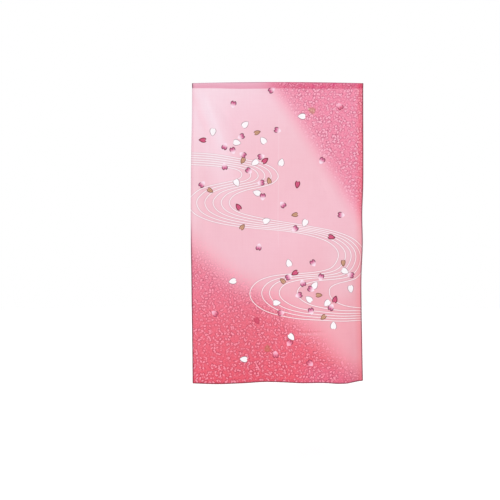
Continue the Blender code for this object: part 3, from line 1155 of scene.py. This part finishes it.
def stitch_paths():
    """Lines just off the cloth's surface, as lists of points, on its printed side and then its wrong side."""
    paths = []
    hem_columns = np.array([-HALF + SIDE_STITCH, HALF - SIDE_STITCH])
    lines, lengths = surface(hem_columns)
    facing = wrong_side(hem_columns, lines)
    for k in range(2):
        shown = (lengths[:, k] > 0) & (lengths[:, k] < LENGTH - 1)
        paths.append((lines - PROUD * facing)[shown, k])
        hangs = (lengths[:, k] > POCKET_DROP + SEAM_ALLOWANCE) & (lengths[:, k] < LENGTH - BOTTOM_HEM)
        paths.append((lines + (2 * LAYER + PROUD) * facing)[hangs, k])

    across = np.linspace(-HALF + 3, HALF - 3, 341)
    for down, stack in ((POCKET_DROP, 3 * LAYER * corner_bulk(across, POCKET_BULK)),
                        (LENGTH - FOOT_STITCH, 2 * LAYER * corner_bulk(across, CORNER_BULK))):
        front = lie(across, down + 0 * across)
        facing = behind(across, down + 0 * across)
        paths += [front - PROUD * facing, front + (stack + PROUD)[:, None] * facing]
    return paths


paths = stitch_paths()
seam_points = np.concatenate(paths) * MM
edges, first = [], 0
for path in paths:
    edges += [(k, k + 1) for k in range(first, first + len(path) - 1)]
    first += len(path)
seam_mesh = bpy.data.meshes.new("seam_thread")
seam_mesh.from_pydata(seam_points.tolist(), edges, [])
thread = show("seam_thread", seam_mesh)
print(f"{len(paths)} lines of stitching")

# %% Thread material
thread_material, n, thread_shader = new_material("sewing_thread")
sheen = n.noise(n.node("ShaderNodeTexCoord", {}, {}, "Object"), 900.0)
n.feed(n.mix(sheen, dye(222, 134, 160), dye(246, 188, 204)), thread_shader, "Base Color")
n.feed(0.45 + sheen * 0.2, thread_shader, "Roughness")
print(f"{thread_material.name}: {len(n.tree.nodes)} nodes")

# %% The stitching tree
stitch_tree = bpy.data.node_groups.new("stitches along lines", "GeometryNodeTree")
stitch_tree.interface.new_socket("Geometry", in_out="OUTPUT", socket_type="NodeSocketGeometry")
stitch_tree.interface.new_socket("Lines", in_out="INPUT", socket_type="NodeSocketGeometry")
STITCH_SIZES = {"Spacing": 3.2 * MM, "Stitch length": 2.5 * MM, "Thread width": 0.42 * MM}
for name in STITCH_SIZES:
    stitch_tree.interface.new_socket(name, in_out="INPUT", socket_type="NodeSocketFloat")

g = Nodes(stitch_tree)
lines, spacing, stitch_length, thread_width = g.node("NodeGroupInput", {}, {}, "Lines", *STITCH_SIZES)
curve = g.node("GeometryNodeMeshToCurve", {}, {"Mesh": lines}, "Curve")
steps = {"Curve": curve, "Length": spacing}
stepped = g.node("GeometryNodeResampleCurve", {"mode": "LENGTH"}, steps, "Curve")
bead = g.node("GeometryNodeMeshIcoSphere", {}, {"Radius": 0.5, "Subdivisions": 1}, "Mesh")
size = g.vector(stitch_length, thread_width, thread_width)
spindle = g.node("GeometryNodeTransform", {}, {"Geometry": bead, "Scale": size}, "Geometry")
tangent = g.node("GeometryNodeInputTangent", {}, {}, "Tangent")
turn = g.node("FunctionNodeAlignRotationToVector", {"axis": "X"}, {"Vector": tangent}, "Rotation")
sizes = {"Min_001": 0.88, "Max_001": 1.08, "Seed": 7}
uneven = g.node("FunctionNodeRandomValue", {"data_type": "FLOAT"}, sizes, "Value_001")
laid = {"Points": stepped, "Instance": spindle, "Rotation": turn, "Scale": uneven}
placed = g.node("GeometryNodeInstanceOnPoints", {}, laid, "Instances")
real = g.node("GeometryNodeRealizeInstances", {}, {"Geometry": placed}, "Geometry")
soft = g.node("GeometryNodeSetShadeSmooth", {}, {"Geometry": real}, "Geometry")
done = g.node("GeometryNodeSetMaterial", {}, {"Geometry": soft, "Material": thread_material}, "Geometry")
g.node("NodeGroupOutput", {}, {"Geometry": done})
print(f"{len(stitch_tree.nodes)} nodes lay the stitches")

# %% Sew
sewing = thread.modifiers.new("stitches", "NODES")
sewing.node_group = stitch_tree
for item in stitch_tree.interface.items_tree:
    if item.in_out == "INPUT" and item.name in STITCH_SIZES:
        sewing[item.identifier] = STITCH_SIZES[item.name]
sewn = bpy.data.meshes.new_from_object(thread.evaluated_get(bpy.context.evaluated_depsgraph_get()))
thread.modifiers.clear()
thread.data = sewn
sewn.name = "seam_thread"
SPINDLE_FACES = 20
print(f"{len(sewn.polygons) // SPINDLE_FACES} stitches, {len(sewn.polygons)} faces")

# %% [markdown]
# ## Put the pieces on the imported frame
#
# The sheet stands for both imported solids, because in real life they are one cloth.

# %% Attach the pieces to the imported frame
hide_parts("pole_pocket", "curtain_panel")
for piece in (cloth, thread):
    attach(piece, "root")

# %% [markdown]
# ## Studio
#
# The curtain hangs half a metre above a plain white floor. The light comes from the whole room, with more
# of it from two sides: from the front at the upper left, and from behind at the right. White walls and two
# large soft boxes give such light. Here it is a world whose brightness follows direction, so it needs no
# lamp and leaves no hard shadow, and still shades the folds. The camera sees the room as plain white.

# %% Floor
DROP_TO_FLOOR = 0.5
floor_at = (0, 0, -LENGTH * MM - DROP_TO_FLOOR)
bpy.ops.mesh.primitive_circle_add(vertices=96, radius=14, fill_type="NGON", location=floor_at)
floor = bpy.context.object
floor.name = "floor"
floor_material, _, floor_shader = new_material("white_floor")
set_inputs(floor_shader, {
    "Base Color": (0.93, 0.93, 0.93, 1),
    "Roughness": 0.9,
    "Emission Color": (1, 1, 1, 1),
    "Emission Strength": 0.20,
})
floor.data.materials.append(floor_material)
print(f"floor {DROP_TO_FLOOR} m below the foot")

# %% Light
ROOM_LIGHT = 0.40
SOFT_BOXES = (((-0.30, -0.79, 0.53), 1.95), ((0.50, 0.74, 0.45), 1.3))   # where from, and how bright
BOX_FALL_OFF = 4      # the higher this power, the smaller and sharper the boxes

world = bpy.data.worlds.new("studio")
world.use_nodes = True
bpy.context.scene.world = world
w = Nodes(world.node_tree)
direction = w.node("ShaderNodeTexCoord", {}, {}, "Generated")
strength = ROOM_LIGHT
for box_from, brightness in SOFT_BOXES:
    inputs = {0: direction, 1: box_from}
    towards = w.node("ShaderNodeVectorMath", {"operation": "DOT_PRODUCT"}, inputs, "Value")
    strength = strength + w.most(towards, 0.0) ** BOX_FALL_OFF * brightness
seen = w.node("ShaderNodeLightPath", {}, {}, "Is Camera Ray")
background = world.node_tree.nodes["Background"]
set_inputs(background, {"Color": (1, 1, 1, 1)})
w.feed(strength * (1 - seen) + seen, background, "Strength")
print(f"{len(SOFT_BOXES)} soft boxes in a room of brightness {ROOM_LIGHT}")

# %% Camera
CAMERA_DISTANCE = 4.5
FRAME = 500               # pixels across
SCALE = 4.97 * MM         # metres of cloth in one of them
SENSOR = 36.0

camera_data = bpy.data.cameras.new("camera")
camera_data.sensor_width = SENSOR
camera_data.lens = SENSOR * CAMERA_DISTANCE / (FRAME * SCALE)
camera = show("camera", camera_data)
camera.location = (-0.1374, -CAMERA_DISTANCE, -0.8351)
camera.rotation_euler = (math.pi / 2, 0, 0)
bpy.context.scene.camera = camera
bpy.context.scene.view_settings.view_transform = "Standard"
print(f"lens {camera_data.lens:.1f} mm at {CAMERA_DISTANCE} m")
